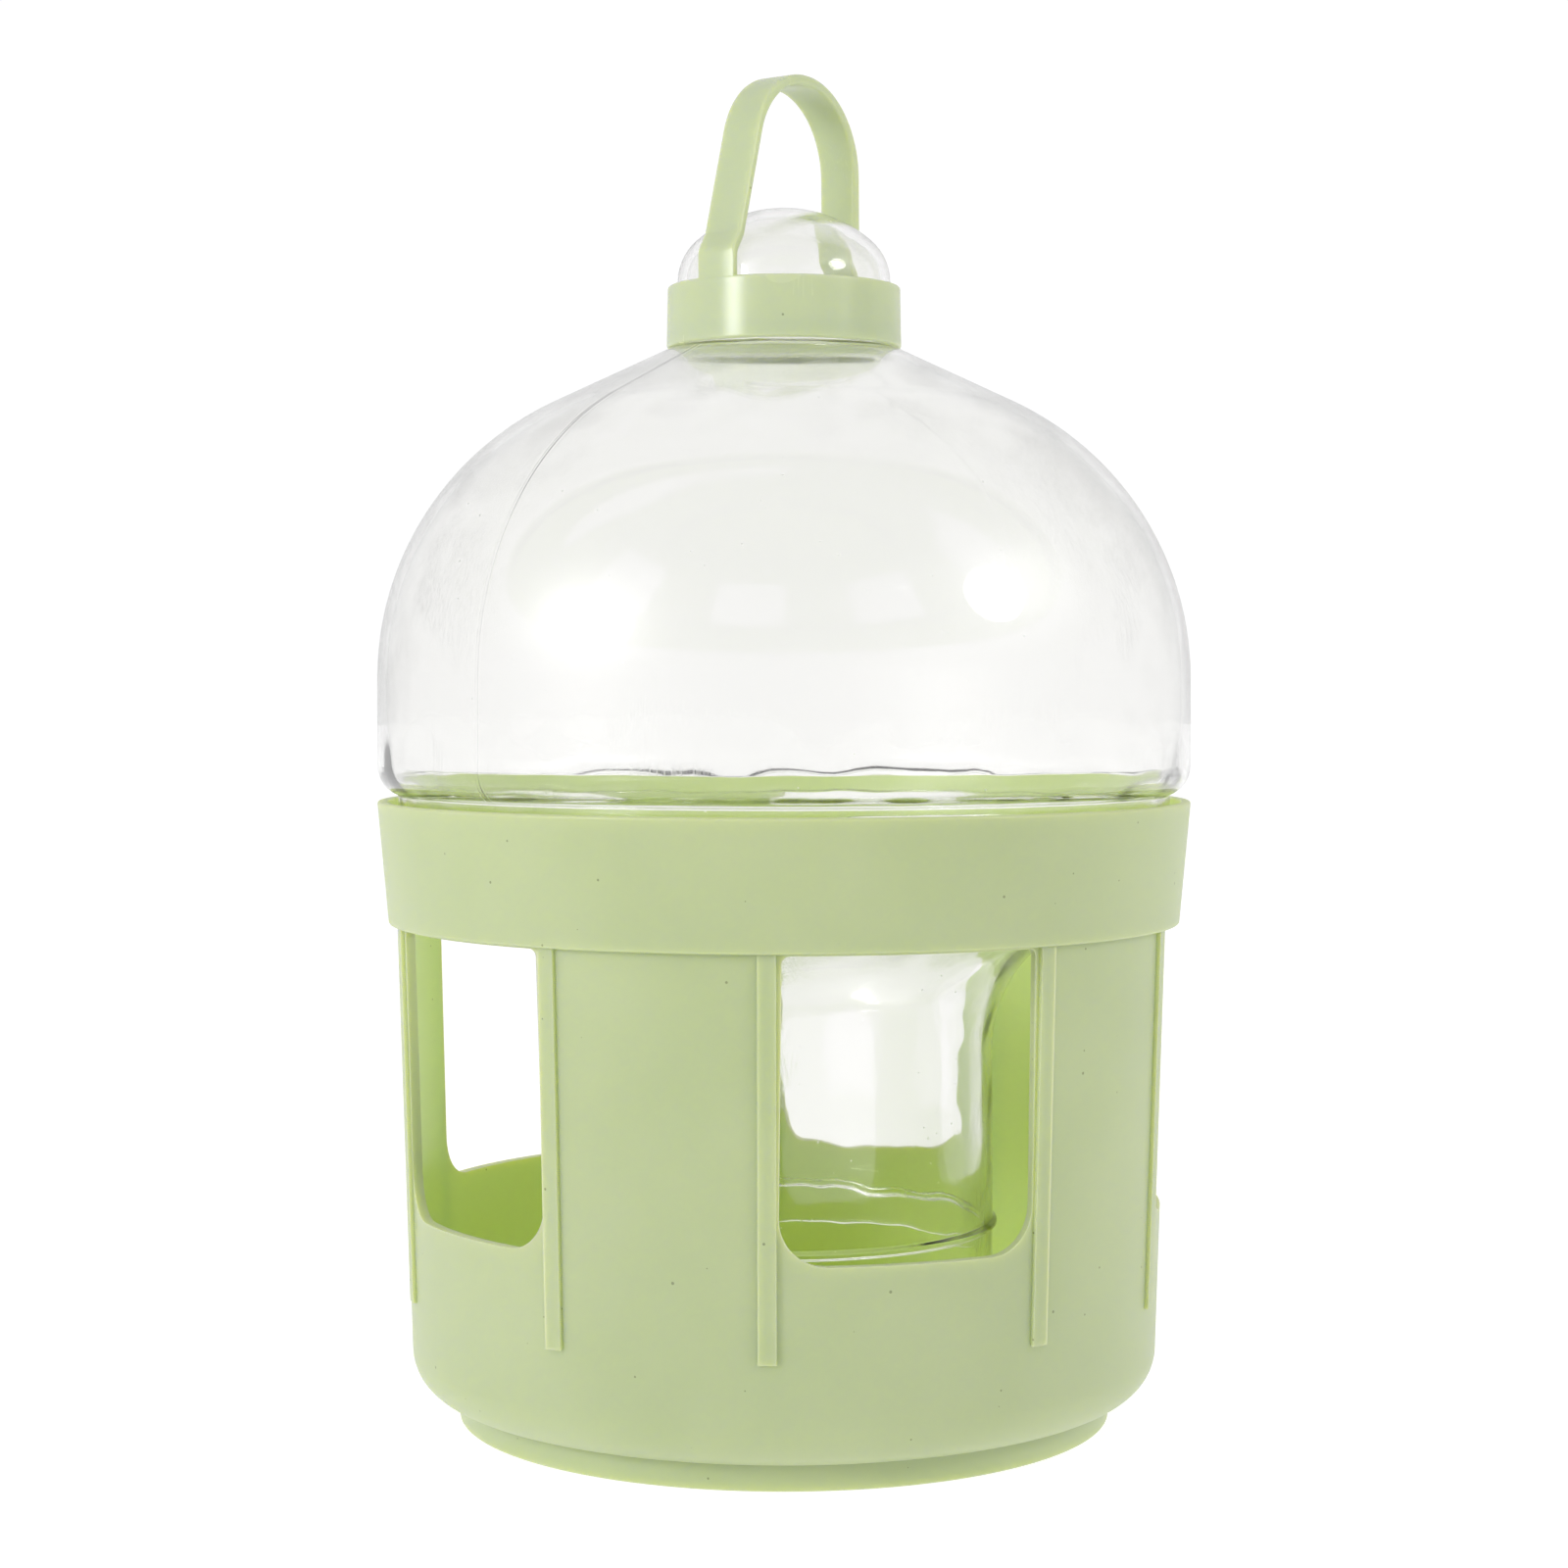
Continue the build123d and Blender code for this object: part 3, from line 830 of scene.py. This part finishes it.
def bead_corners():
    """The bead round the neck, from above to below."""
    crest = NECK_RADIUS + BEAD_PROUD
    return [
        (NECK_RADIUS, BEAD_HEIGHT + BEAD_PROUD, BEAD_FOOT_ROUND),
        (crest, BEAD_HEIGHT + BEAD_PROUD / 2, BEAD_CREST_ROUND),
        (crest, BEAD_HEIGHT - BEAD_PROUD / 2, BEAD_CREST_ROUND),
        (NECK_RADIUS, BEAD_HEIGHT - BEAD_PROUD, BEAD_FOOT_ROUND),
    ]


def make_tank(turned, lugged, plastic):
    """The clear tank as one closed wall, outside and inside, with its lugs."""
    outer = outside_corners()
    inner = inside_corners(outer)
    mouth = [(NECK_RADIUS, MOUTH, MOUTH_ROUND), (NECK_RADIUS - TANK_WALL, MOUTH, MOUTH_ROUND)]
    corners = outer[:-1] + bead_corners() + mouth + inner[-2::-1]
    line = spaced(rounded_line(corners, 1.5 * MM), 2.6 * MM, LUG_TOP - 2 * LUG_HEIGHT, LUG_TOP + LUG_HEIGHT)
    line[0][0] = line[-1][0] = 0
    profile = turned_profile("tank profile", line, BODY_SWEEP)
    shell = grown("tank shell", turned, Profile=profile, Segments=TANK_SEGMENTS, Material=plastic,
                  **{"Sweep Radius": BODY_SWEEP, "Wave Height": WAVE_HEIGHT, "Wave Scale": WAVE_SCALE,
                     "Calm Above": CALM_ABOVE, "Calm Share": CALM_SHARE})
    tank = grown("clear_tank", lugged, shell.data, Material=plastic, Top=LUG_TOP, Height=LUG_HEIGHT,
                 Proud=LUG_PROUD, Middle=LUG_MIDDLE, Span=LUG_SPAN)
    dropped(profile, shell)
    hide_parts("tank")
    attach(tank, "tank")
    return tank


# ---------------------------------------------------------------- carry handle
def ring_corners():
    """Corners of the ring's section: its outside, then its bore with the snap bead."""
    bead = KNOB_RADIUS - GROOVE_DEPTH + SNAP_GAP
    low = RING_BOTTOM + SNAP_LIFT
    high = low + SNAP_HEIGHT
    return [
        (RING_BORE, RING_BOTTOM, RING_LOW_ROUND),
        (RING_RADIUS + RING_FLARE, RING_BOTTOM, RING_EDGE_ROUND),
        (RING_RADIUS, RING_TOP, RING_EDGE_ROUND),
        (RING_BORE, RING_TOP, RING_BORE_ROUND),
        (RING_BORE, high + RING_BORE - bead, SNAP_ROUND),
        (bead, high, SNAP_ROUND),
        (bead, low, SNAP_ROUND),
        (RING_BORE, low - (RING_BORE - bead) / 2, SNAP_FOOT_ROUND),
    ]


def strap_path():
    """Middle line of the strap, from inside the ring's wall over the arch and down again."""
    half = STRAP_THICK / 2
    edge = RING_RADIUS - LEG_SINK - half
    stepped = edge - LEG_STEP
    root = RING_TOP - RING_HEIGHT / 3
    top = LOOP_TOP - half
    return rounded_line([
        (-edge, root, 0),
        (-edge, LEG_STEP_LOW, LEG_ROUND),
        (-stepped, LEG_STEP_HIGH, LEG_ROUND),
        (LOOP_LEAN - LOOP_ROUND + FRONT_LEG_LEAN + half, top, FRONT_LOOP_ROUND - half),
        (LOOP_LEAN + LOOP_ROUND - half, top, LOOP_ROUND - half),
        (stepped, LEG_STEP_HIGH, LEG_ROUND),
        (edge, LEG_STEP_LOW, LEG_ROUND),
        (edge, root, 0),
    ], 0.8 * MM)


def make_handle(turned, strapped, plastic):
    """The snap ring and the strap loop, in one moulding."""
    points = spaced(rounded_line(ring_corners(), 0.6 * MM, closed=True), 1.5 * MM)
    profile = turned_profile("ring profile", points, RING_SWEEP, closed=True)
    ring = grown("handle ring", turned, Profile=profile, Segments=RING_SEGMENTS, Material=plastic,
                 **{"Sweep Radius": RING_SWEEP})
    path = line_object("strap path", spaced(strap_path(), 1.2 * MM), False)
    path.data.dimensions = "3D"
    path.data.transform(Matrix.Rotation(pi / 2, 4, "X"))
    across, deep = STRAP_WIDTH / 2, STRAP_THICK / 2
    section = line_object("strap section", spaced(rounded_line([
        (-across, -deep, STRAP_EDGE),
        (across, -deep, STRAP_EDGE),
        (across, deep, STRAP_EDGE),
        (-across, deep, STRAP_EDGE),
    ], 0.25 * MM, closed=True), 0.9 * MM), True)
    strap = grown("handle strap", strapped, Path=path, Section=section, Material=plastic)
    flush = RING_RADIUS - LEG_FLUSH
    for vertex in strap.data.vertices:
        reach = hypot(vertex.co.x, vertex.co.y)
        if reach > flush and vertex.co.z < LEG_STEP_HIGH:
            vertex.co.x *= flush / reach
            vertex.co.y *= flush / reach
    strap.data.transform(Matrix.Rotation(LOOP_AZIMUTH, 4, "Z"))
    join = ring.modifiers.new("join", "BOOLEAN")
    join.operation = "UNION"
    join.solver = "EXACT"
    join.object = strap
    handle = finished(ring)
    handle.name = handle.data.name = "carry_handle_moulding"
    dropped(profile, path, section, strap)
    eased(handle, HANDLE_EASE, 2, 40)
    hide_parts("carry_handle")
    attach(handle, "handle")
    return handle


# ---------------------------------------------------------------- studio
def make_studio():
    """The camera, a pale floor, an even white room and a soft lamp at each side."""
    scene = bpy.context.scene
    camera_data = bpy.data.cameras.new("camera")
    camera_data.sensor_width = CAMERA_SENSOR
    camera_data.lens = CAMERA_LENS
    camera_data.shift_y = CAMERA_SHIFT
    camera = bpy.data.objects.new("camera", camera_data)
    camera.location = CAMERA_PLACE
    camera.rotation_euler = (pi / 2, 0, 0)
    scene.collection.objects.link(camera)
    scene.camera = camera

    floor = bmesh.new()
    bmesh.ops.create_circle(floor, cap_ends=True, segments=96, radius=FLOOR_RADIUS)
    mesh = bpy.data.meshes.new("floor")
    floor.to_mesh(mesh)
    floor.free()
    ground = new_object("floor", mesh)
    material, tree, surface = shader("pale floor")
    surface.inputs["Base Color"].default_value = (FLOOR_GREY, FLOOR_GREY, FLOOR_GREY, 1)
    surface.inputs["Roughness"].default_value = 0.9
    surface.inputs["Specular IOR Level"].default_value = 0.0
    surface.inputs["Emission Color"].default_value = (1, 1, 1, 1)
    floor_path = make(tree, "ShaderNodeLightPath")
    glow = ranged(tree, floor_path.outputs["Is Diffuse Ray"], 0.0, 1.0, FLOOR_GLOW_SEEN, FLOOR_GLOW_CAST)
    tree.links.new(glow, surface.inputs["Emission Strength"])
    mesh.materials.append(material)

    world = bpy.data.worlds.new("studio")
    scene.world = world
    world.use_nodes = True
    sky = world.node_tree
    path = make(sky, "ShaderNodeLightPath")
    seen = sums(sky, "MAXIMUM", path.outputs["Is Camera Ray"], path.outputs["Is Transmission Ray"])
    reflected = sums(sky, "MULTIPLY", path.outputs["Is Glossy Ray"], ROOM_REFLECTED)
    lit = sums(sky, "ADD", ROOM_CAST, reflected)
    strength = sums(sky, "MAXIMUM", lit, sums(sky, "MULTIPLY", seen, ROOM_SEEN))
    sky.nodes["Background"].inputs["Color"].default_value = (1, 1, 1, 1)
    sky.links.new(strength, sky.nodes["Background"].inputs["Strength"])
    scene.view_settings.view_transform = "Standard"

    for name, around, up, power in LAMPS:
        away = Vector((sin(around) * cos(up), -cos(around) * cos(up), sin(up)))
        light = bpy.data.lights.new(name, "AREA")
        light.shape = "DISK"
        light.size = LAMP_SIZE
        light.energy = power
        lamp = bpy.data.objects.new(name, light)
        lamp.location = Vector(LAMPS_AROUND) + away * LAMP_REACH
        lamp.rotation_euler = away.to_track_quat("Z", "Y").to_euler()
        scene.collection.objects.link(lamp)


make_studio()
skin, scratches = skin_group(), scratch_group()
green = green_plastic("pale green plastic", TUB_GREENS, 0.38, skin, scratches)
satin = green_plastic("satin green plastic", HANDLE_GREENS, 0.22, skin, scratches)
clear = clear_plastic(skin, scratches)
turned = turned_tree()
make_base(turned, windowed_tree(), green)
make_tank(turned, lugged_tree(), clear)
make_handle(turned, strap_tree(), satin)
